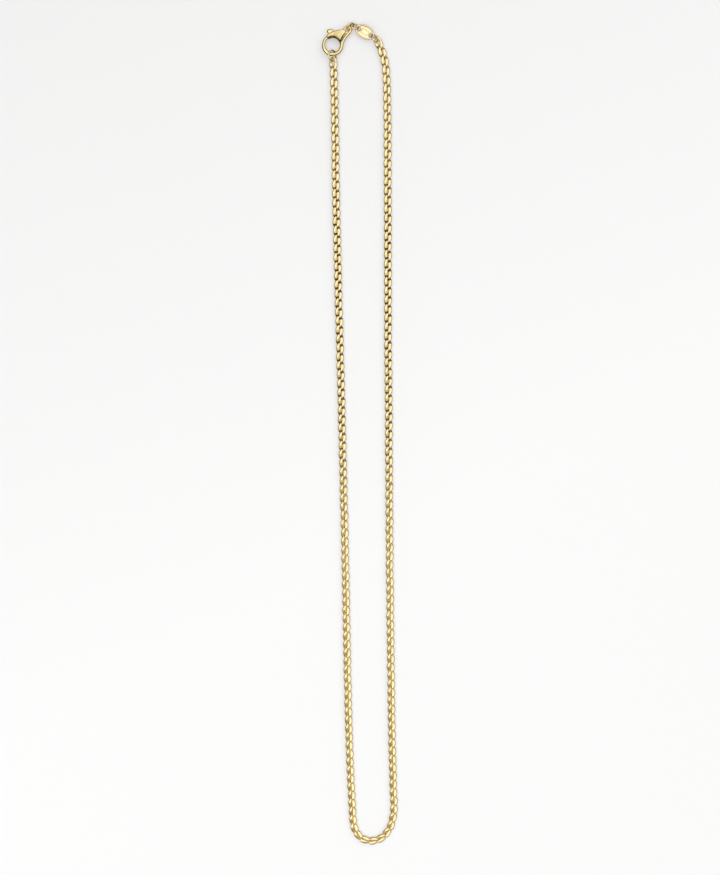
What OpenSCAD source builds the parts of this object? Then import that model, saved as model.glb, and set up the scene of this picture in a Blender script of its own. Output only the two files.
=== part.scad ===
// A neck chain of flat twisted links with a trigger clasp and an oval tag, laid down closed.
// Millimetres. +X is the photograph's right, +Y its top, and +Z is up from the surface it lies on.

/* [Chain] */
// Length of chain that one link takes up
link_pitch = 2.4; // [2.35:0.05:2.5]
// Diameter of the wire of a link
link_wire = 0.6; // [0.5:0.05:0.6]
// Width of a link over its two sides
link_w = 2.2; // [2.15:0.05:2.3]
// Angle that each end of a link is twisted out of the flat
link_twist = 34; // [33:1:36]
// Play of one link in the next, along the chain
link_play = 0.3; // [0.3:0.02:0.4]

/* [Clasp] */
// Radius of the clasp's hook, to the middle of its bar
hook_r = 2.35; // [2.3:0.05:2.5]
// Thickness of the hook's round bar
hook_bar = 0.9; // [0.85:0.05:0.95]
// Thickness of the clasp's body
body_t = 2.2; // [2.1:0.05:2.3]
// Distance from the hook's centre to the eye in the tail
tail_reach = 5.5; // [5.4:0.1:5.6]
// Thickness of the lever
lever_t = 0.8; // [0.7:0.05:0.85]
// Diameter of the pin that the lever turns on
pin_d = 0.6; // [0.5:0.05:0.6]

/* [Rings] */
// Diameter of the wire of the small rings
ring_wire = 0.45; // [0.4:0.01:0.46]
// Diameter of the jump ring in the clasp's tail, to the middle of its wire
jump_d = 2; // [1.95:0.01:2.05]
// Diameter of the ring between the hook and the chain, to the middle of its wire
end_d = 2.7; // [2.68:0.01:2.75]
// Diameter of the ring at each end of the tag, to the middle of its wire
tag_ring_d = 2.22; // [2.18:0.01:2.24]

/* [Tag] */
// Length of the oval tag
tag_l = 5.5; // [5.4:0.1:5.6]
// Width of the oval tag
tag_w = 3.3; // [3:0.1:3.6]
// Thickness of the oval tag
tag_t = 0.4; // [0.35:0.05:0.45]
// Width of the raised rim round the tag
tag_rim = 0.3; // [0.25:0.05:0.35]

/* [Hidden] */

gold = "gold";
$fn = 48;

// Path of the chain's centre line, from the ring in the hook down, round and up to the tag
route = [
    [-7.3, 102.55], [-7.1, 97], [-6.9, 88], [-6.7, 72], [-6.3, 52], [-5.8, 32], [-5.3, 12],
    [-4.8, -10], [-4.3, -32], [-3.9, -54], [-3.5, -74], [-3.1, -88], [-2.7, -97], [-2.4, -103],
    [-2.0, -107], [-0.5, -109.9], [2.4, -111.2], [5.6, -110.4], [8.0, -107.4], [9.1, -103],
    [9.0, -97], [8.7, -88], [8.4, -74], [8.1, -54], [7.8, -32], [7.6, -10], [7.4, 12],
    [7.2, 32], [7.1, 52], [7.0, 72], [6.9, 88], [6.7, 97], [6.1, 102.6], [4.15, 107.75]
];
steps = 8;

// Catmull-Rom curve through four points, t from 0 to 1 between the middle two
function curve(p, q, r, s, t) =
    0.5 * (2 * q + (r - p) * t + (2 * p - 5 * q + 4 * r - s) * t * t
        + (3 * q - p - 3 * r + s) * t * t * t);
last = len(route) - 1;
function route_point(i) =
    i < 0 ? 2 * route[0] - route[1] : i > last ? 2 * route[last] - route[last - 1] : route[i];
fine = [
    for (i = [0 : last - 1], k = [0 : steps - 1])
        curve(route_point(i - 1), route[i], route[i + 1], route_point(i + 2), k / steps),
    route[last]
];
function step(i) = i < len(fine) ? norm(fine[i] - fine[i - 1]) : 0;
run = [for (i = 0, s = 0; i < len(fine); i = i + 1, s = s + step(i)) s];
xs = [for (i = [0 : len(fine) - 1]) [run[i], fine[i].x]];
ys = [for (i = [0 : len(fine) - 1]) [run[i], fine[i].y]];
function along(s) = [lookup(s, xs), lookup(s, ys)];
chain_run = run[len(run) - 1];
links = round(chain_run / link_pitch);
function joint_run(i) = chain_run * i / links;

// Half sizes of one link, all to the middle of its wire
side_y = (link_w - link_wire) / 2;
end_r = side_y / cos(link_twist);
side_z = side_y * tan(link_twist);
half_l = (link_pitch + link_wire + link_play) / 2;
end_x = half_l - end_r;
side_l = 2 * norm([end_x, side_z]);
side_a = atan(side_z / end_x);
end_lap = 14;
side_wire = link_wire - 0.04;
chain_z = side_z + link_wire / 2;

// The run between the end links is a tube of the chain's outline, of this many sides,
// with its rings further apart on the two straight sides than round the bottom
end_links = 3;
tube_sides = 12;
tube_gap = 0.15;
tube_from = joint_run(end_links) + half_l + (link_wire - link_pitch) / 2 + tube_gap;
tube_to = chain_run - tube_from;
bend_from = run[12 * steps];
bend_to = run[20 * steps];
side_rings = 31;
bend_rings = 12;
stations = [
    for (i = [0 : side_rings - 1]) tube_from + (bend_from - tube_from) * i / side_rings,
    for (i = [0 : bend_rings - 1]) bend_from + (bend_to - bend_from) * i / bend_rings,
    for (i = [0 : side_rings]) bend_to + (tube_to - bend_to) * i / side_rings
];

// Places of the clasp and its parts, the parts in the clasp's own plane with the tail along +X
hook_at = [-7.45, 106.2];
clasp_turn = 45;
clasp_z = body_t / 2;
tail_r = 0.85;
tail_wire = 0.5;
hook_start = -50;
gate_from = 55;
tip_at = 130;
tip_lap = 5;
pivot = [3, 0.7];
gate_reach = norm(hook_r * [cos(tip_at), sin(tip_at)] - pivot);
tip_gap = 0.1;
slot_t = lever_t + 0.2;

// Holes of the tag, and the depth of its face below the rim
tag_hole_x = tag_l / 2 - 0.88;
tag_hole_r = 0.55;
tag_dip = 0.1;

// Bent round bar: part of a ring of radius r, from one angle through another
module bar_arc(r, wire, from, sweep) {
    rotate([0, 0, from])
        rotate_extrude(angle = sweep)
            translate([r, 0]) circle(d = wire);
}

// Whole ring of round wire at p, its plane leaned about its own long axis, which points along heading
module wire_ring(p, d, wire, lean, heading) {
    translate(p) rotate([0, 0, heading]) rotate([lean, 0, 0])
        rotate_extrude() translate([d / 2, 0]) circle(d = wire);
}

// One link of the chain: two end loops twisted opposite ways, joined by a slanted bar on each side
module link() {
    for (turn = [0, 180])
        rotate([0, 0, turn]) {
            translate([end_x, 0, 0]) rotate([-link_twist, 0, 0])
                bar_arc(end_r, link_wire, -90 - end_lap, 180 + 2 * end_lap);
            translate([0, side_y, 0]) rotate([0, 90 + side_a, 0])
                cylinder(d = side_wire, h = side_l, center = true);
        }
}

// The links from number a to number b, counted from the hook's end, each hooked into the next
module link_run(a, b) {
    for (i = [a : b]) {
        p = along(joint_run(i));
        q = along(joint_run(i + 1));
        translate([(p.x + q.x) / 2, (p.y + q.y) / 2, chain_z])
            rotate([0, 0, atan2(q.y - p.y, q.x - p.x)]) link();
    }
}

// One ring of the tube: points round the chain's outline at a distance s along its path
function tube_ring(s) =
    let (p = along(s), d = along(s + 0.1) - along(s - 0.1), n = [-d.y, d.x] / norm(d))
    [
        for (k = [0 : tube_sides - 1])
            let (a = 360 * k / tube_sides, w = link_w / 2 * cos(a))
            [p.x + n.x * w, p.y + n.y * w, chain_z + chain_z * sin(a)]
    ];

// The long run of fine links between the two sets of end links, as a tube of their outline
module chain() {
    rings = len(stations);
    points = [for (s = stations) each tube_ring(s)];
    start = [for (k = [0 : tube_sides - 1]) k];
    end = [for (k = [tube_sides - 1 : -1 : 0]) (rings - 1) * tube_sides + k];
    walls = [
        for (i = [0 : rings - 2], k = [0 : tube_sides - 1])
            let (j = (k + 1) % tube_sides, a = i * tube_sides, b = a + tube_sides)
            [a + k, b + k, b + j, a + j]
    ];
    color(gold) polyhedron(points, concat([start, end], walls), convexity = 6);
}

// The links next to the clasp's hook
module first_links() {
    color(gold) link_run(0, end_links - 1);
}

// The links next to the tag
module last_links() {
    color(gold) link_run(links - end_links, links - 1);
}

// Puts a clasp part into its place
module in_clasp() {
    translate([hook_at.x, hook_at.y, clasp_z]) rotate([0, 0, clasp_turn]) children();
}

// Outline of the clasp's two cheeks and its spine
module cheek_outline() {
    difference() {
        polygon([
            [0.1, 2.8], [1.3, 2.75], [2.4, 2.4], [3.8, 1.6], [4.75, 0.8], [4.75, -0.8], [4, -1.1],
            [2.9, -1.55], [2.2, -2], [1.6, -2.35], [1, -2.6], [0.9, -1.2], [0, 0]
        ]);
        circle(r = hook_r - hook_bar / 2);
    }
}

// Body of the clasp: two cheeks with a slot for the lever, the hook and the eye in the tail
module clasp_body() {
    color(gold)
        in_clasp() {
            difference() {
                translate([0, 0, -body_t / 2]) linear_extrude(body_t) cheek_outline();
                translate([-1, -0.5, -slot_t / 2]) cube([5.3, 5, slot_t]);
                translate([pivot.x, pivot.y, -body_t]) cylinder(d = pin_d + 0.04, h = 2 * body_t);
            }
            difference() {
                bar_arc(hook_r, hook_bar, hook_start, tip_at - tip_lap - 360 - hook_start);
                intersection() {
                    translate([pivot.x, pivot.y, -body_t]) cylinder(r = gate_reach + tip_gap, h = 2 * body_t);
                    translate([-2.6, 0.5, -body_t]) cube([3, 3, 2 * body_t]);
                }
            }
            translate([tail_reach, 0, 0]) rotate_extrude() translate([tail_r, 0]) circle(d = tail_wire);
        }
}

// Lever of the clasp: the gate that closes the hook, its flat with the bore and its thumb tab
module clasp_lever() {
    color(gold)
        in_clasp() {
            intersection() {
                bar_arc(hook_r, lever_t, gate_from, tip_at + tip_lap - gate_from);
                translate([pivot.x, pivot.y, -lever_t]) cylinder(r = gate_reach, h = 2 * lever_t);
            }
            difference() {
                translate([0, 0, -lever_t / 2]) linear_extrude(lever_t) {
                    translate(pivot) circle(r = 0.85);
                    polygon([[1, 1.75], [1.3, 2.6], [2.4, 2.3], [3.6, 1.2], [2.8, -0.1], [1.95, 0.75]]);
                    polygon([[1.3, 2.2], [1.4, 3.35], [2.3, 3.35], [2.5, 2]]);
                    translate([1.85, 3.35]) circle(r = 0.45);
                }
                translate([pivot.x, pivot.y, -lever_t]) cylinder(d = pin_d + 0.12, h = 2 * lever_t);
            }
        }
}

// Pin that the lever turns on, flush in the two cheeks
module clasp_pin() {
    color(gold)
        in_clasp()
            translate([pivot.x, pivot.y, -body_t / 2 + 0.04]) cylinder(d = pin_d, h = body_t - 0.08);
}

// Ring between the clasp's hook and the first link
module end_ring() {
    color(gold) wire_ring([-7.5, 103.49, 1.19], end_d, ring_wire, -44.7, -84);
}

// Jump ring through the eye in the clasp's tail
module jump_ring() {
    color(gold) wire_ring([-2.82, 110.83, 1.12], jump_d, ring_wire, 55, 45);
}

// Small ring between the jump ring and the tag
module tag_link() {
    color(gold) wire_ring([-1.74, 110.97, 1.14], tag_ring_d, ring_wire, -52, -24);
}

// The tag's oval outline, drawn in from its edge
module tag_outline(inset) {
    polygon([
        for (a = [0 : 7.5 : 352.5]) [(tag_l / 2 - inset) * cos(a), (tag_w / 2 - inset) * sin(a)]
    ]);
}

// Oval tag, bare, with a raised rim on its face and a hole at each end
module oval_tag() {
    color(gold)
        translate([0.97, 109.53, 1.16]) rotate([0, 0, -28]) rotate([15, 0, 0])
            difference() {
                translate([0, 0, -tag_t / 2]) linear_extrude(tag_t) tag_outline(0);
                translate([0, 0, tag_t / 2 - tag_dip]) linear_extrude(tag_t) tag_outline(tag_rim);
                for (side = [1, -1])
                    translate([side * tag_hole_x, 0, -tag_t]) cylinder(r = tag_hole_r, h = 2 * tag_t);
            }
}

// Ring between the tag and the last link
module tag_ring() {
    color(gold) wire_ring([3.61, 108.02, 1.13], tag_ring_d, ring_wire, -53, -37);
}

chain();
first_links();
last_links();
clasp_body();
clasp_lever();
clasp_pin();
end_ring();
jump_ring();
tag_link();
oval_tag();
tag_ring();
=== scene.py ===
"""A fine gold neck chain of flat twisted links, lying closed, with its clasp, rings and oval tag.

Sizes are written in millimetres and turned to metres where a mesh is made.
"""
import math

import bpy
import numpy as np
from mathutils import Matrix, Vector
from mathutils.geometry import delaunay_2d_cdt


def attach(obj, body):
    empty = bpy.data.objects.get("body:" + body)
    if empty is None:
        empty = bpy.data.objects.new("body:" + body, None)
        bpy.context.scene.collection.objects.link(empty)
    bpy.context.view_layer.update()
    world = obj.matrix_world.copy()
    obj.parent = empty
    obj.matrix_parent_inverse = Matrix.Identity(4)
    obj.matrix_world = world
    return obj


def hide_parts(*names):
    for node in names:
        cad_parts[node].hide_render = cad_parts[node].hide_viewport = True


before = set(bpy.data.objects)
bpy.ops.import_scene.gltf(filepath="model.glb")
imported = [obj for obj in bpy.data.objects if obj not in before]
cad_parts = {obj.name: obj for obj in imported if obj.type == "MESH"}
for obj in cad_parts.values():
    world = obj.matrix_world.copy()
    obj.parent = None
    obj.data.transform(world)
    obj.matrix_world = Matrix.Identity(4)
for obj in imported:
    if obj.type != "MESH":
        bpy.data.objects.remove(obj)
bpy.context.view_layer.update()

MM = 0.001
BODY = "necklace"
LEVER = "lever"

# The power that leaves a ring of wire round
ROUND = 2.0

# Chain: one link along the run, its wire at the two ends and at the two sides, and its shape
LINK_PITCH = 2.4
END_WIRE = 0.16
SIDE_HALF_WIDE = 0.52
SIDE_HALF_HIGH = 0.40
SIDE_POWER = 2.6
LINK_HALF_WIDTH = 0.54
LINK_TWIST = 36.0
TWIST_POWER = 0.8
LINK_SLACK = -0.1
LINK_SQUARENESS = 2.15
LINK_STEPS = 32
WIRE_SIDES = 12
CHAIN_Z = 0.66

# The same for the half of the first and of the last link that is open for its ring
OPEN_WIRE = 0.28
OPEN_HALF_WIDTH = 0.78
OPEN_TWIST = -34.0
OPEN_SLACK = 0.34
OPEN_SQUARENESS = 2.1
OPEN_RAMP = 1.4
OPEN_Z = 0.86

# How far links lie off the run by chance: spreads of roll and yaw in degrees, and of shift
LINK_SEED = 7
ROLL_SPREAD = 5
YAW_SPREAD = 2.5
SHIFT_SPREAD = 0.03

# Links counted from the nearer end: where chance begins, and where it is full
LOOSE_FROM = 4
LOOSE_AT = 8

# Path of the chain's centre line, from the ring in the hook down, round and up to the tag
ROUTE = [
    (-7.3, 102.55), (-7.1, 97), (-6.9, 88), (-6.7, 72), (-6.3, 52), (-5.8, 32), (-5.3, 12),
    (-4.8, -10), (-4.3, -32), (-3.9, -54), (-3.5, -74), (-3.1, -88), (-2.7, -97), (-2.4, -103),
    (-2.0, -107), (-0.5, -109.9), (2.4, -111.2), (5.6, -110.4), (8.0, -107.4), (9.1, -103),
    (9.0, -97), (8.7, -88), (8.4, -74), (8.1, -54), (7.8, -32), (7.6, -10), (7.4, 12),
    (7.2, 32), (7.1, 52), (7.0, 72), (6.9, 88), (6.7, 97), (6.1, 102.6), (4.15, 107.75),
]
ROUTE_STEPS = 16

# Clasp: its place, its plane's turn, and its main sizes, in its own plane with the tail along +X
HOOK_AT = (-7.45, 106.2)
CLASP_TURN = 45.0
CLASP_Z = 1.1
HOOK_R = 2.35
TAIL_AT = (5.5, 0.0)
TAIL_R = 0.85
TAIL_WIRE = 0.25
PIVOT = (3.0, 0.7)
RIVET_R = 0.3
KNOB = (2.02, 2.88)
KNOB_AXES = ((0.64, -0.64), (0.44, 0.44))
KNOB_HALF_HIGH = 0.46
KNOB_POWER = 0.8
CIRCLE_STEPS = 24

# Bars: sides of their wire, and the angles and the length of their rounded ends
BAR_SIDES = 16
CAP_ANGLES = (30, 60, 85)
CAP_LENGTH = 0.7

# Rings: middle, diameter to the middle of the wire, lean and heading, and the turn of their seam
RINGS = {
    "end_ring": ((-7.5, 103.49, 1.19), 2.7, -44.7, -84, 205),
    "jump_ring": ((-2.82, 110.83, 1.12), 2.0, 55, 45, 250),
    "tag_link": ((-1.74, 110.97, 1.14), 2.22, -52, -24, 60),
    "tag_ring": ((3.61, 108.02, 1.13), 2.22, -53, -37, 120),
}
RING_WIRE = 0.225
RING_STEPS = 56
RING_SIDES = 16
SEAM_DEPTH = 0.28
SEAM_WIDTH = 0.045
SEAM_CROWDING = 0.86
# Strength of the painted shade on the inner flank of each ring's wire
RING_PAINTED_SHADE = 0.8

# Tag: place, turn, lean, half sizes, and its two holes
TAG_AT = (0.97, 109.53, 1.16)
TAG_TURN = -28
TAG_LEAN = 15
TAG_HALF = (2.75, 1.65)
TAG_HALF_T = 0.2
TAG_HOLE_X = 1.87
TAG_HOLE_R = 0.55

# The tag's face: rounding of its edges, rim, collars round the holes, and the two sunk fields
EDGE_ROUNDING = 0.12
EDGE_SHARE = 0.45
RIM_WIDTH = 0.26
COLLAR_WIDTH = 0.14
FIELD_SLOPE = 0.08
FIELD_DEPTH = 0.07
PANEL_HALF = (0.95, 0.62)
PANEL_SLOPE = 0.07
PANEL_DEPTH = 0.05

# The tag's points: steps round its edges, how far in its rings of points lie, and the grid inside
TAG_STEPS = 240
TAG_LOOPS = (0.0, 0.02, 0.06, 0.12, 0.19, 0.26, 0.30, 0.34, 0.45)
HOLE_STEPS = 96
HOLE_LOOPS = (0.0, 0.03, 0.07, 0.11, 0.14, 0.167, 0.193, 0.22, 0.26)
GRID_HALF = (2.24, 1.2)
GRID_STEPS = (65, 37)
GRID_FROM_EDGE = 0.5
GRID_FROM_HOLE = 0.3
TOUCHING = 1e-6
SAME_POINT = 1e-7

# Golds: a deep tone, a pale tone and a range of roughness
POLISHED = ((0.91, 0.73, 0.37), (0.97, 0.82, 0.48), (0.30, 0.44))
BRIGHT = ((0.76, 0.60, 0.27), (0.87, 0.71, 0.37), (0.07, 0.16))
SATIN = ((0.59, 0.46, 0.27), (0.65, 0.52, 0.32), (0.16, 0.28))

# Painted shade in crevices: its colour, and its strength along the loop from its bottom to the top
PAINTED_SHADE_COLOUR = (0.06, 0.035, 0.015)
PAINTED_SHADE_REACH = 0.11
PAINTED_SHADE_STOPS = ((0.0, 0.2), (0.36, 0.3), (0.52, 0.9), (0.75, 1.0), (0.9, 0.75), (1.0, 0.75))

# Room: the way to its brightest side, and its tones from square to that way up to it
ROOM_UP = (0.26, 0.30, 0.918)
ROOM_LOW = (0.36, 0.30, 0.20)
ROOM_STOPS = ((0.32, 0.03), (0.48, 0.2), (0.62, 1.0), (0.85, 1.2), (1.0, 1.2))
ROOM_STRENGTH = 1.08

# Floor: half its width, the height of its far walls, and the way its painted glow weakens, from
# where to where
FLOOR_HALF = 6.0
WALL_HIGH = 2.2
FLOOR_AWAY = (-0.55, 1.0, 0.0)
FLOOR_GLOW_FADE = {"From Min": -0.03, "From Max": 0.176, "To Min": 0.360, "To Max": 0.270}


def ramp(value, start, end):
    """0 up to the start, 1 from the end on, and a straight line between them."""
    return np.clip((value - start) / (end - start), 0, 1)


def powered(value, power):
    """The value raised to a power, with its sign kept."""
    return np.sign(value) * np.abs(value) ** power


def directions(angles):
    """Points on the circle of radius one at the angles."""
    return np.stack([np.cos(angles), np.sin(angles)], axis=-1)


def turn_steps(count):
    """A full turn in equal steps, from 0."""
    return np.arange(count) / count * 2 * np.pi


def unit(vectors):
    """Vectors of length one along the last axis."""
    return vectors / np.linalg.norm(vectors, axis=-1, keepdims=True)


def turned(points, degrees):
    """Points turned about Z."""
    c, s = math.cos(math.radians(degrees)), math.sin(math.radians(degrees))
    return points @ np.array([[c, s, 0], [-s, c, 0], [0, 0, 1]])


def leaned(points, degrees):
    """Points turned about X."""
    c, s = math.cos(math.radians(degrees)), math.sin(math.radians(degrees))
    return points @ np.array([[1, 0, 0], [0, c, s], [0, -s, c]])


def catmull_rom(four, steps):
    """The Catmull-Rom cubic between the middle two of four neighbouring points, in equal steps."""
    t = (np.arange(steps) / steps)[None, :, None]
    a, b, c, d = (points[:, None, :] for points in four)
    curve = 0.5 * (
        2 * b
        + (c - a) * t
        + (2 * a - 5 * b + 4 * c - d) * t**2
        + (3 * b - a - 3 * c + d) * t**3
    )
    return curve.reshape(-1, 2)


def open_curve(points, steps):
    """Catmull-Rom curve through the points, with straight run-outs past both ends."""
    p = np.array(points, float)
    p = np.concatenate([[2 * p[0] - p[1]], p, [2 * p[-1] - p[-2]]])
    curve = catmull_rom([p[i : len(p) - 3 + i] for i in range(4)], steps)
    return np.concatenate([curve, p[-2:-1]])


def closed_curve(points, steps):
    """Closed Catmull-Rom curve through the points of an outline."""
    p = np.array(points, float)
    return catmull_rom([np.roll(p, 1 - i, axis=0) for i in range(4)], steps)


def grid_faces(rows, columns, close_rows=False):
    """Quads between neighbouring points of a rows x columns grid.

    The last column joins the first, and with close_rows the last row joins the first too.
    """
    index = np.arange(rows * columns).reshape(rows, columns)
    if close_rows:
        index = np.concatenate([index, index[:1]])
    index = np.concatenate([index, index[:, :1]], axis=1)
    corners = [index[:-1, :-1], index[:-1, 1:], index[1:, 1:], index[1:, :-1]]
    return np.stack(corners, axis=-1).reshape(-1, 4)


def capped(rings):
    """Rings joined one to the next, with one flat face over each end: points and faces."""
    rows, columns = rings.shape[:2]
    last = (rows - 1) * columns
    faces = grid_faces(rows, columns).tolist()
    faces += [list(range(columns))[::-1], list(range(last, last + columns))]
    return rings.reshape(-1, 3), faces


def sweep(centres, tangents, across, half_wide, half_high, sides, power=ROUND):
    """Rings round a path: centre + w cos(a) across + h sin(a) up, with up = tangent x across.

    The cosine and sine are raised to 2/power with their signs kept, which squares the ring.
    """
    across = unit(across - (across * tangents).sum(-1, keepdims=True) * tangents)
    up = np.cross(tangents, across)
    ca, sa = powered(directions(turn_steps(sides)), 2 / power).T
    w = np.broadcast_to(half_wide, centres.shape[:-1])[..., None, None]
    h = np.broadcast_to(half_high, centres.shape[:-1])[..., None, None]
    return (
        centres[..., None, :]
        + w * ca[:, None] * across[..., None, :]
        + h * sa[:, None] * up[..., None, :]
    )


def level_across(tangents):
    """The level way across a path, square to its tangents."""
    return np.cross(tangents, np.broadcast_to([0.0, 0.0, 1.0], tangents.shape))


def bar(centres, radii):
    """A round bar along an open path in the clasp's plane: points and faces.

    Its ring at each step has the radius there. A few more rings at each end shrink and step
    outwards as the cosine and sine of the cap's angles, which rounds the end.
    """
    p = np.concatenate([centres, np.zeros((len(centres), 1))], axis=1)
    tangent = unit(np.gradient(p, axis=0))
    shrink, out = directions(np.radians(CAP_ANGLES)).T
    start = p[:1] - tangent[:1] * (out * radii[0] * CAP_LENGTH)[:, None]
    end = p[-1:] + tangent[-1:] * (out * radii[-1] * CAP_LENGTH)[:, None]
    caps = len(CAP_ANGLES)
    p = np.concatenate([start[::-1], p, end])
    tangent = np.concatenate(
        [np.repeat(tangent[:1], caps, 0), tangent, np.repeat(tangent[-1:], caps, 0)]
    )
    radii = np.concatenate([(shrink * radii[0])[::-1], radii, shrink * radii[-1]])
    return capped(sweep(p, tangent, level_across(tangent), radii, radii, BAR_SIDES))


def hook_bar(angles, radii, steps):
    """A bar along the hook's circle, with the radii at the angles and in between: points, faces."""
    way = np.linspace(angles[0], angles[-1], steps)
    return bar(HOOK_R * directions(np.radians(way)), np.interp(way, angles, radii))


def pad(outline, centre, profile):
    """A crowned plate: points and faces.

    Each ring is the outline drawn in towards the centre by the profile's first number and lifted
    to its second; the first and last rings are closed with one flat face each.
    """
    profile = np.array(profile, float)
    flat = np.array(centre) + (outline[None] - np.array(centre)) * profile[:, :1, None]
    lift = np.broadcast_to(profile[:, 1:, None], flat.shape[:2] + (1,))
    return capped(np.concatenate([flat, lift], axis=-1))


def mirrored(shape):
    """The shape mirrored in the clasp's plane, its faces turned so that they still point out."""
    points, faces = shape
    return points * np.array([1, 1, -1]), [face[::-1] for face in faces]


def joined(*shapes):
    """Several closed shapes as one list of points and faces."""
    points, faces, count = [], [], 0
    for more, its_faces in shapes:
        points.append(more)
        faces += [[i + count for i in face] for face in its_faces]
        count += len(more)
    return np.concatenate(points), faces


def make_piece(name, points_mm, faces, material, body=BODY):
    """A smooth mesh object at the origin from points in millimetres and faces, on its body."""
    mesh = bpy.data.meshes.new(name)
    mesh.from_pydata((np.asarray(points_mm) * MM).tolist(), [], [list(map(int, f)) for f in faces])
    mesh.polygons.foreach_set("use_smooth", np.full(len(mesh.polygons), True))
    mesh.materials.append(material)
    mesh.update()
    piece = bpy.data.objects.new(name, mesh)
    bpy.context.scene.collection.objects.link(piece)
    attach(piece, body)
    return piece


def set_painted_shade(piece, values):
    """Write the attribute of painted shade, which the gold darkens by, at the piece's points."""
    painted_shade = piece.data.attributes.new("painted_shade", "FLOAT", "POINT")
    painted_shade.data.foreach_set("value", np.asarray(values, float).ravel())


def link_rings(end_wire, side_wide, side_high, power, half_width, twist, slack, squareness):
    """Rings of wire round one link, steps x sides x 3, and how much painted shade each point gets.

    The middle of the wire is a superellipse whose plane turns about the link's length:
    x = a c, y = b s cos(q), z = b s sin(q), with c and s the cosine and sine of the way round
    raised to 2 / squareness, and q = twist times the cosine raised to the twist's power. The wire
    swells from its size at the ends to its size at the sides with the sine. The painted shade lies
    where the wire dips under the next link, and on the inner flank of the wire that passes over it.
    """
    half = (LINK_PITCH + 2 * end_wire + slack) / 2
    t = turn_steps(LINK_STEPS)
    c, s = np.cos(t), np.sin(t)
    x = half * powered(c, 2 / squareness)
    y = half_width * powered(s, 2 / squareness)
    q = np.radians(twist) * powered(c, TWIST_POWER)
    centre = np.stack([x, y * np.cos(q), y * np.sin(q)], axis=-1)
    tangent = unit(np.roll(centre, -1, axis=0) - np.roll(centre, 1, axis=0))
    swell = np.abs(s)
    wide = end_wire + (side_wide - end_wire) * swell
    high = end_wire + (side_high - end_wire) * swell
    rings = sweep(centre, tangent, level_across(tangent), wide, high, WIRE_SIDES, power)

    height = centre[:, 2] / np.abs(centre[:, 2]).max()
    dip = ramp(-height, 0.55, 0.8)
    over = ramp(np.abs(c), 0.35, 0.55) * (height > 0)
    side = np.degrees(turn_steps(WIRE_SIDES))
    flank = np.interp(side, [135, 180, 225, 270], [0, 0.5, 0.2, 0])
    return rings, np.maximum(dip[:, None], over[:, None] * flank)


def link_places():
    """The middle of each link and the way it points: chords of equal steps along the route."""
    curve = open_curve(ROUTE, ROUTE_STEPS)
    run = np.concatenate([[0], np.cumsum(np.linalg.norm(np.diff(curve, axis=0), axis=1))])
    count = round(run[-1] / LINK_PITCH)
    s = run[-1] * np.arange(count + 1) / count
    joints = np.stack([np.interp(s, run, curve[:, k]) for k in range(2)], axis=-1)
    return (joints[1:] + joints[:-1]) / 2, unit(np.diff(joints, axis=0))


def chain_links(material):
    """The whole run of links, each link's rings turned and moved to its chord of the route.

    The first and the last link open towards their ring: their openness rises along the link from
    0 to 1. Each link but the first and last few is rolled, turned and shifted by a small random
    amount. The painted shade is full deep in a crevice and fades where a link is open.
    """
    middle, chord = link_places()
    count = len(middle)
    closed, crevice_shade = link_rings(
        END_WIRE, SIDE_HALF_WIDE, SIDE_HALF_HIGH, SIDE_POWER,
        LINK_HALF_WIDTH, LINK_TWIST, LINK_SLACK, LINK_SQUARENESS,
    )
    opened, _ = link_rings(
        OPEN_WIRE, OPEN_WIRE, OPEN_WIRE, ROUND,
        OPEN_HALF_WIDTH, OPEN_TWIST, OPEN_SLACK, OPEN_SQUARENESS,
    )
    closed, opened = closed.reshape(1, -1, 3), opened.reshape(1, -1, 3)
    reach = opened[0, :, 0] / opened[..., 0].max()
    openness = np.zeros((count, reach.size, 1))
    openness[0, :, 0] = np.clip(0.5 - OPEN_RAMP * reach, 0, 1)
    openness[-1, :, 0] = np.clip(0.5 + OPEN_RAMP * reach, 0, 1)
    link = closed * (1 - openness) + opened * openness

    number = np.arange(count)
    loose = ramp(np.minimum(number, count - 1 - number), LOOSE_FROM, LOOSE_AT)[:, None]
    chance = np.random.default_rng(LINK_SEED)
    roll = np.radians(chance.normal(0, ROLL_SPREAD, (count, 1))) * loose
    yaw = np.radians(chance.normal(0, YAW_SPREAD, (count, 1))) * loose
    shift = chance.normal(0, SHIFT_SPREAD, (count, 1)) * loose
    x, y, z = link[..., 0], link[..., 1], link[..., 2]
    y, z = y * np.cos(roll) - z * np.sin(roll), y * np.sin(roll) + z * np.cos(roll)
    x, y = x * np.cos(yaw) - y * np.sin(yaw), x * np.sin(yaw) + y * np.cos(yaw) + shift
    points = np.empty(link.shape)
    points[..., 0] = middle[:, :1] + chord[:, :1] * x - chord[:, 1:] * y
    points[..., 1] = middle[:, 1:] + chord[:, 1:] * x + chord[:, :1] * y
    points[..., 2] = CHAIN_Z + (OPEN_Z - CHAIN_Z) * openness[..., 0] + z
    one = grid_faces(LINK_STEPS, WIRE_SIDES, close_rows=True)
    faces = (one[None] + (number * points.shape[1])[:, None, None]).reshape(-1, 4)
    piece = make_piece("curb_links", points.reshape(-1, 3), faces, material)
    # Painted shade in the link's crevices, faded out where the link opens for its ring
    set_painted_shade(piece, crevice_shade.reshape(1, -1) * (1 - openness[..., 0]))
    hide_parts("chain", "first_links", "last_links")


def in_clasp(points):
    """Points of the clasp's own plane, put into its place."""
    return turned(np.asarray(points, float), CLASP_TURN) + np.array([*HOOK_AT, CLASP_Z])


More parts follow.
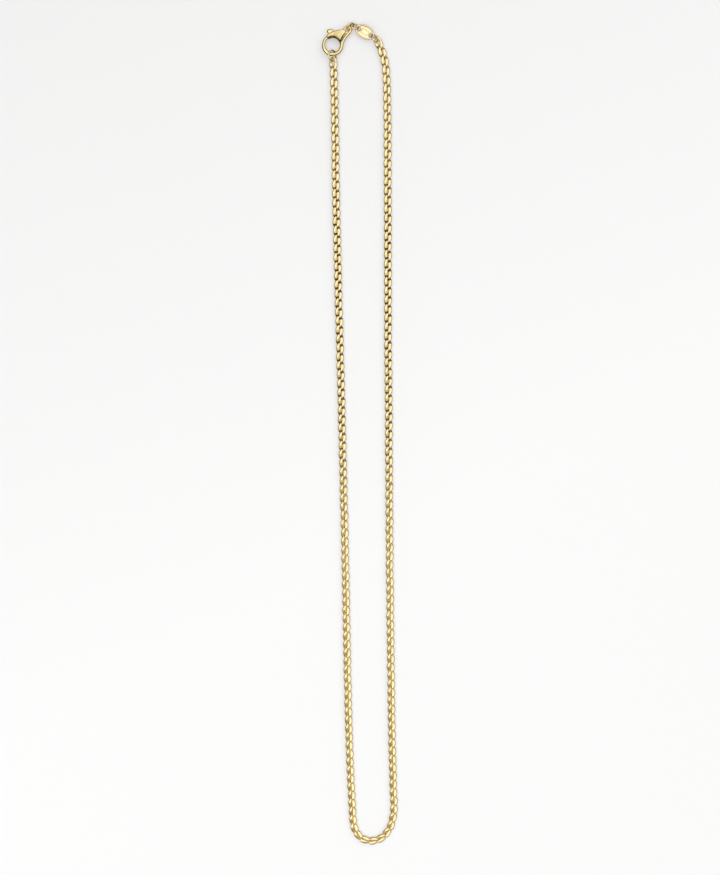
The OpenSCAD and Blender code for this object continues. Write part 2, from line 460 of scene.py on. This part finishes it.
def clasp_spine():
    """The spine's path: a Hermite curve from the hook's end to the eye, then round the eye."""
    t = np.linspace(0, 1, 18)[:, None]
    start, end = np.array([1.447, -1.852]), np.array([TAIL_AT[0], -TAIL_R])
    out, into = np.array([0.788, 0.616]) * 5.4, np.array([3.0, 0.0])
    spine = (
        (2 * t**3 - 3 * t**2 + 1) * start
        + (t**3 - 2 * t**2 + t) * out
        + (-2 * t**3 + 3 * t**2) * end
        + (t**3 - t**2) * into
    )
    eye = np.array(TAIL_AT) + TAIL_R * directions(np.radians(np.linspace(-90, 262, 40)))
    return np.concatenate([spine[:-1], eye])


def clasp_frame(material):
    """The fixed part of the clasp: the hook's bar, the spine that runs on into the tail's eye,
    and two crowned cheeks with the slot for the lever between them."""
    hook = hook_bar([126, 150, 290, 344], [0.36, 0.44, 0.45, 0.40], 56)
    path = clasp_spine()
    along = np.linspace(0, 1, len(path))
    tail = bar(path, np.interp(along, [0, 0.08, 0.3, 0.45, 1], [0.42, 0.39, 0.34, 0.29, TAIL_WIRE]))
    outline = closed_curve(
        [
            (0.42, 2.72), (1.3, 2.74), (2.4, 2.36), (3.6, 1.62), (4.5, 0.95), (4.88, 0.4),
            (4.7, -0.1), (3.8, -0.3), (2.8, -0.52), (2.1, -0.78), (1.86, -0.45), (1.92, 0.1),
            (1.78, 0.72), (1.42, 1.28), (0.92, 1.68), (0.42, 1.88), (0.28, 2.3),
        ],
        5,
    )
    crown = [
        (0.97, 0.5), (1.0, 0.55), (1.0, 0.66), (0.985, 0.78), (0.955, 0.88), (0.90, 0.96),
        (0.80, 1.02), (0.62, 1.065), (0.4, 1.09), (0.15, 1.1),
    ]
    cheek = pad(outline, (2.9, 0.8), crown)
    web = pad(
        closed_curve([(4.32, 1.0), (4.8, 0.5), (4.78, 0.0), (4.3, -0.2), (4.3, 0.4)], 4),
        (4.55, 0.4),
        [(1.0, -0.56), (1.0, 0.56)],
    )
    points, faces = joined(hook, tail, cheek, mirrored(cheek), web)
    piece = make_piece("clasp_frame", in_clasp(points), faces, material)
    # Painted shadow and shade on the frame's edges, slit and flanks
    set_painted_shade(piece, clasp_painted_shade(points[:, :2]))
    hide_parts("clasp_body")


def clasp_painted_shade(points):
    """How much painted shade each point of the clasp's frame gets, from its place in the clasp's
    own plane.

    Painted shadow lies on the cheeks' edge over the hook's opening and in the slit between the
    cheeks and the spine, and fainter painted shade on the inner flank of the hook's bar, its outer
    flank away from the light and the middle of the cheeks. Each fades in between two distances or
    two angles.
    """
    x, y = points.T
    reach, way = np.hypot(x, y), np.degrees(np.arctan2(y, x))
    edge = ramp(reach, 2.52, 2.22) * ramp(way, -42, -28) * ramp(way, 112, 88)
    start, end = np.array([1.4, -1.0]), np.array([3.4, -0.40])
    length = end - start
    t = np.clip((points - start) @ length / (length @ length), 0, 1)
    slit = ramp(np.linalg.norm(points - start - t[:, None] * length, axis=1), 0.3, 0.18)
    inner = 0.55 * ramp(reach, 2.08, 1.96)
    outer = 0.9 * ramp(reach, 2.58, 2.7) * ramp(np.abs(np.abs(way) - 165), 32, 17)
    cheek_shade = 0.3 * ramp(np.hypot(x - 2.5, y - 1.0), 1.95, 0.45)
    return 1.3 * np.max([edge, slit, inner, outer, cheek_shade], axis=0)


def clasp_trigger(material):
    """The lever: the gate's curved bar, the flat plate in the slot and the rounded thumb knob,
    whose rings rise as the sine of their latitude and shrink as its cosine raised to a power."""
    gate = hook_bar([48, 70, 120, 131], [0.40, 0.40, 0.38, 0.35], 26)
    plate = pad(
        closed_curve(
            [
                (1.0, 1.8), (1.15, 2.5), (1.45, 3.1), (2.2, 3.1), (2.5, 2.25), (3.6, 1.3),
                (3.82, 0.7), (3.4, -0.05), (2.75, -0.05), (2.1, 0.7),
            ],
            4,
        ),
        (2.4, 1.3),
        [(0.95, -0.4), (1.0, -0.33), (1.0, 0.33), (0.95, 0.4)],
    )
    latitude = np.radians(np.linspace(-85, 85, 13))
    knob = pad(
        np.array(KNOB) + directions(turn_steps(CIRCLE_STEPS)) @ KNOB_AXES,
        KNOB,
        np.stack([np.cos(latitude) ** KNOB_POWER, KNOB_HALF_HIGH * np.sin(latitude)], axis=-1),
    )
    points, faces = joined(gate, plate, knob)
    piece = make_piece("clasp_trigger", in_clasp(points), faces, material, body=LEVER)
    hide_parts("clasp_lever")


def clasp_rivet(material):
    """The pin that the lever turns on, a round bar with a low domed head in each cheek."""
    points, faces = pad(
        np.array(PIVOT) + RIVET_R * directions(turn_steps(CIRCLE_STEPS)),
        PIVOT,
        [
            (0.15, -1.10), (0.7, -1.09), (1.1, -1.05), (1.1, -0.98), (1.0, -0.96), (1.0, 0.96),
            (1.1, 0.98), (1.1, 1.06), (0.7, 1.12), (0.15, 1.14),
        ],
    )
    piece = make_piece("clasp_rivet", in_clasp(points), faces, material)
    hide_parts("clasp_pin")


def small_ring(node, material):
    """A ring of round wire with a hairline seam: its radius dips as a narrow bell at the seam's
    angle, and its steps crowd together there."""
    place, diameter, lean, heading, seam = RINGS[node]
    u = turn_steps(RING_STEPS)
    t = u - SEAM_CROWDING * np.sin(u)
    bell = np.exp(-((np.minimum(t, 2 * np.pi - t) / SEAM_WIDTH) ** 2))
    wire = RING_WIRE * (1 - SEAM_DEPTH * bell)
    way = t + np.radians(seam)
    outward = np.stack([np.cos(way), np.sin(way), 0 * way], axis=-1)
    tangent = np.stack([-np.sin(way), np.cos(way), 0 * way], axis=-1)
    rings = sweep(diameter / 2 * outward, tangent, outward, wire, wire, RING_SIDES)
    points = turned(leaned(rings.reshape(-1, 3), lean), heading) + np.array(place)
    faces = grid_faces(RING_STEPS, RING_SIDES, close_rows=True)
    piece = make_piece(node + "_wire", points, faces, material)
    # Painted shade on the inner flank of the wire, all round the ring
    inward = ramp(-np.cos(turn_steps(RING_SIDES)), 0.45, 0.95)
    set_painted_shade(piece, np.tile(RING_PAINTED_SHADE * inward, RING_STEPS))
    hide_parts(node)


def tag_edges(points):
    """How far inside the tag's outer edge points lie, and how far outside its nearer hole."""
    x, y = np.asarray(points).T
    out = (1 - np.hypot(x / TAG_HALF[0], y / TAG_HALF[1])) * TAG_HALF[1]
    return out, np.hypot(np.abs(x) - TAG_HOLE_X, y) - TAG_HOLE_R


def tag_heights(points):
    """Heights of the tag's face and of its underside over its middle plane.

    Both round down as a quarter ellipse, from full height to a share of it at the outer edge and
    at the holes. On the face the rim stands full height, the field inside it lies lower, and a
    plain rectangle in the middle lies lower still, each with a slope that eases in and out.
    """
    out, hole = tag_edges(points)
    edge = ramp(np.minimum(out, hole), 0, EDGE_ROUNDING)
    height = TAG_HALF_T * (EDGE_SHARE + (1 - EDGE_SHARE) * np.sqrt(1 - (1 - edge) ** 2))
    field = ramp(np.minimum(out - RIM_WIDTH, hole - COLLAR_WIDTH), 0, FIELD_SLOPE)
    panel = ramp((np.array(PANEL_HALF) - np.abs(points)).min(axis=1), 0, PANEL_SLOPE)
    field, panel = (t * t * (3 - 2 * t) for t in (field, panel))
    return height - FIELD_DEPTH * field - PANEL_DEPTH * panel, -height


def tag_points():
    """The tag's points: its outer edge, its two holes' edges, then the rings and the grid inside.

    Ring d of the outer edge is the same ellipse, smaller by d in its half width, and ring d of a
    hole is the circle whose radius is larger than the hole's by d.
    """
    long, wide = TAG_HALF
    way, hole_way = directions(turn_steps(TAG_STEPS)), directions(turn_steps(HOLE_STEPS))
    loops = [way * (long * (1 - d / wide), wide - d) for d in TAG_LOOPS]
    left, right = (
        [(side * TAG_HOLE_X, 0) + (TAG_HOLE_R + d) * hole_way for d in HOLE_LOOPS]
        for side in (-1, 1)
    )
    axes = [np.linspace(-half, half, count) for half, count in zip(GRID_HALF, GRID_STEPS)]
    grid = np.stack([axis.ravel() for axis in np.meshgrid(*axes)], axis=-1)
    out, hole = tag_edges(grid)
    grid = grid[(out > GRID_FROM_EDGE) & (hole > GRID_FROM_HOLE + TOUCHING)]
    points = np.concatenate([loops[0], left[0], right[0], *loops[1:], *left[1:], *right[1:], grid])
    out, hole = tag_edges(points)
    return points[(out > -TOUCHING) & (hole > -TOUCHING)]


def oval_tag(material):
    """The tag: a plate with two holes, its points joined to triangles between its edges, lifted
    by the height formula on its face and lowered underneath, with a wall along each edge."""
    counts = (TAG_STEPS, HOLE_STEPS, HOLE_STEPS)
    starts = (0, TAG_STEPS, TAG_STEPS + HOLE_STEPS)
    edges = [
        (start + i, start + (i + 1) % count)
        for start, count in zip(starts, counts)
        for i in range(count)
    ]
    points = [Vector(p) for p in tag_points().tolist()]
    flat, _, triangles, *_ = delaunay_2d_cdt(points, edges, [], 0, SAME_POINT)
    flat, triangles = np.array([tuple(p) for p in flat]), np.array(triangles)
    _, hole = tag_edges(flat[triangles].mean(axis=1))
    triangles = triangles[hole > -0.01 * TAG_HOLE_R]
    a, b, c = (flat[triangles[:, k]] for k in range(3))
    flip = np.cross(b - a, c - a) < 0
    triangles[flip] = triangles[flip][:, ::-1]
    faces = triangles.tolist() + (triangles[:, ::-1] + len(flat)).tolist()
    for start, count in zip(starts, counts):
        i = np.arange(count) + start
        j = (np.arange(count) + 1) % count + start
        wall = np.stack([i, i + len(flat), j + len(flat), j], axis=-1)
        faces += (wall if start == 0 else wall[:, ::-1]).tolist()
    points = np.concatenate([np.column_stack([flat, height]) for height in tag_heights(flat)])
    points = turned(leaned(points, TAG_LEAN), TAG_TURN) + np.array(TAG_AT)
    piece = make_piece("oval_tag_plate", points, faces, material)
    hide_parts("oval_tag")


def add_node(tree, kind, inputs=None, **settings):
    """A new node of a material's or the room's tree, with its settings and its plain inputs."""
    node = tree.nodes.new("ShaderNode" + kind)
    for name, value in settings.items():
        setattr(node, name, value)
    for name, value in (inputs or {}).items():
        node.inputs[name].default_value = value
    return node


def add_ramp(tree, stops):
    """A colour ramp with stops from 0 to 1, each a place and a grey or a colour."""
    node = add_node(tree, "ValToRGB")
    marks = node.color_ramp.elements
    colours = [(*np.broadcast_to(colour, 3).tolist(), 1) for _, colour in stops]
    marks[0].color, marks[1].color = colours[0], colours[-1]
    for (position, _), colour in zip(stops[1:-1], colours[1:-1]):
        marks.new(position).color = colour
    return node


def new_material(name):
    """A material, its tree and its shader."""
    material = bpy.data.materials.new(name)
    material.use_nodes = True
    return material, material.node_tree, material.node_tree.nodes["Principled BSDF"]


def gold_material(name, deep, pale, rough):
    """Yellow gold: a drift from a deep to a pale tone, fine rub marks, and painted shade in
    crevices.

    The painted shade lies where its attribute is above 0; it is darkest above the
    middle of the loop and thinnest at its bottom.
    """
    material, tree, shader = new_material(name)
    link = tree.links.new
    shader.inputs["Metallic"].default_value = 1.0
    place = add_node(tree, "TexCoord")

    drift = add_node(tree, "TexNoise", {"Scale": 420.0, "Detail": 3.0})
    link(place.outputs["Object"], drift.inputs["Vector"])
    colour = add_ramp(tree, ((0.0, deep), (1.0, pale)))
    link(drift.outputs["Fac"], colour.inputs["Fac"])

    # Painted shade: a dark colour mixed into the gold by the attribute, more of it higher up the
    # loop
    painted_shade = add_node(tree, "Attribute", attribute_name="painted_shade")
    split = add_node(tree, "SeparateXYZ")
    link(place.outputs["Object"], split.inputs["Vector"])
    along = add_node(tree, "MapRange", {"From Min": -PAINTED_SHADE_REACH, "From Max": PAINTED_SHADE_REACH})
    link(split.outputs["Y"], along.inputs["Value"])
    shade_strength = add_ramp(tree, PAINTED_SHADE_STOPS)
    link(along.outputs["Result"], shade_strength.inputs["Fac"])
    amount = add_node(tree, "Math", operation="MULTIPLY")
    link(painted_shade.outputs["Fac"], amount.inputs[0])
    link(shade_strength.outputs["Color"], amount.inputs[1])
    shaded_colour = add_node(tree, "Mix", {"B": (*PAINTED_SHADE_COLOUR, 1)}, data_type="RGBA")
    link(amount.outputs["Value"], shaded_colour.inputs["Factor"])
    link(colour.outputs["Color"], shaded_colour.inputs["A"])
    link(shaded_colour.outputs["Result"], shader.inputs["Base Color"])

    rubbed = add_node(tree, "TexNoise", {"Scale": 2600.0, "Detail": 4.0})
    link(place.outputs["Object"], rubbed.inputs["Vector"])
    roughness = add_node(tree, "MapRange", {"To Min": rough[0], "To Max": rough[1]})
    link(rubbed.outputs["Fac"], roughness.inputs["Value"])
    link(roughness.outputs["Result"], shader.inputs["Roughness"])
    bump = add_node(tree, "Bump", {"Strength": 0.12, "Distance": 0.00002})
    link(rubbed.outputs["Fac"], bump.inputs["Height"])
    link(bump.outputs["Normal"], shader.inputs["Normal"])
    return material


def camera():
    """The photograph's view: from almost straight above, leaned a little towards the clasp."""
    target = Vector((-0.0003, 0.0029, 0.0008))
    distance, lean = 0.405, math.radians(7.5)
    data = bpy.data.cameras.new("camera")
    data.lens = 61.7
    data.sensor_width = 36.0
    data.clip_start = 0.01
    view = bpy.data.objects.new("camera", data)
    view.location = target + distance * Vector((0, math.sin(lean), math.cos(lean)))
    view.rotation_euler = (-lean, 0, 0)
    bpy.context.scene.collection.objects.link(view)
    bpy.context.scene.camera = view


def floor():
    """Pale floor that glows with painted light, its glow a little weaker towards the clasp and the
    left, with pale walls far off.
    """
    material, tree, shader = new_material("pale_floor")
    shader.inputs["Base Color"].default_value = (0.60, 0.60, 0.60, 1)
    shader.inputs["Roughness"].default_value = 0.9
    shader.inputs["Emission Color"].default_value = (1, 1, 1, 1)
    place = add_node(tree, "TexCoord")
    # Painted light: the floor glows, less towards the clasp and the left
    away = add_node(tree, "VectorMath", {1: FLOOR_AWAY}, operation="DOT_PRODUCT")
    tree.links.new(place.outputs["Object"], away.inputs[0])
    glow = add_node(tree, "MapRange", FLOOR_GLOW_FADE)
    tree.links.new(away.outputs["Value"], glow.inputs["Value"])
    tree.links.new(glow.outputs["Result"], shader.inputs["Emission Strength"])
    mesh = bpy.data.meshes.new("floor")
    corners = [(x * FLOOR_HALF, y * FLOOR_HALF) for x, y in ((-1, -1), (1, -1), (1, 1), (-1, 1))]
    mesh.from_pydata(
        [(*corner, z) for z in (0, WALL_HIGH) for corner in corners],
        [],
        [(0, 1, 2, 3)] + [(i, i + 4, (i + 1) % 4 + 4, (i + 1) % 4) for i in range(4)],
    )
    mesh.materials.append(material)
    plane = bpy.data.objects.new("floor", mesh)
    bpy.context.scene.collection.objects.link(plane)
    plane.visible_glossy = False


def fill_light():
    """A square soft light that faces the middle of the chain."""
    data = bpy.data.lights.new("fill", "AREA")
    data.size = 0.7
    data.energy = 2.0
    light = bpy.data.objects.new("fill", data)
    light.location = (-0.5, -0.3, 0.9)
    light.rotation_euler = (-light.location).to_track_quat("-Z", "Y").to_euler()
    bpy.context.scene.collection.objects.link(light)


def studio():
    """White room that darkens away from its brightest side."""
    world = bpy.data.worlds.new("studio")
    bpy.context.scene.world = world
    world.use_nodes = True
    tree = world.node_tree
    back = tree.nodes["Background"]
    way = add_node(tree, "TexCoord")
    height = add_node(tree, "VectorMath", {1: ROOM_UP}, operation="DOT_PRODUCT")
    tree.links.new(way.outputs["Generated"], height.inputs[0])
    tones = add_ramp(tree, ((0.0, ROOM_LOW), *ROOM_STOPS))
    tree.links.new(height.outputs["Value"], tones.inputs["Fac"])
    tree.links.new(tones.outputs["Color"], back.inputs["Color"])
    back.inputs["Strength"].default_value = ROOM_STRENGTH
    bpy.context.scene.view_settings.view_transform = "Standard"


camera()
studio()
fill_light()
floor()
polished_gold = gold_material("polished_gold", *POLISHED)
bright_gold = gold_material("bright_gold", *BRIGHT)
satin_gold = gold_material("satin_gold", *SATIN)
chain_links(polished_gold)
clasp_frame(bright_gold)
clasp_trigger(bright_gold)
clasp_rivet(bright_gold)
for node in RINGS:
    small_ring(node, bright_gold)
oval_tag(satin_gold)
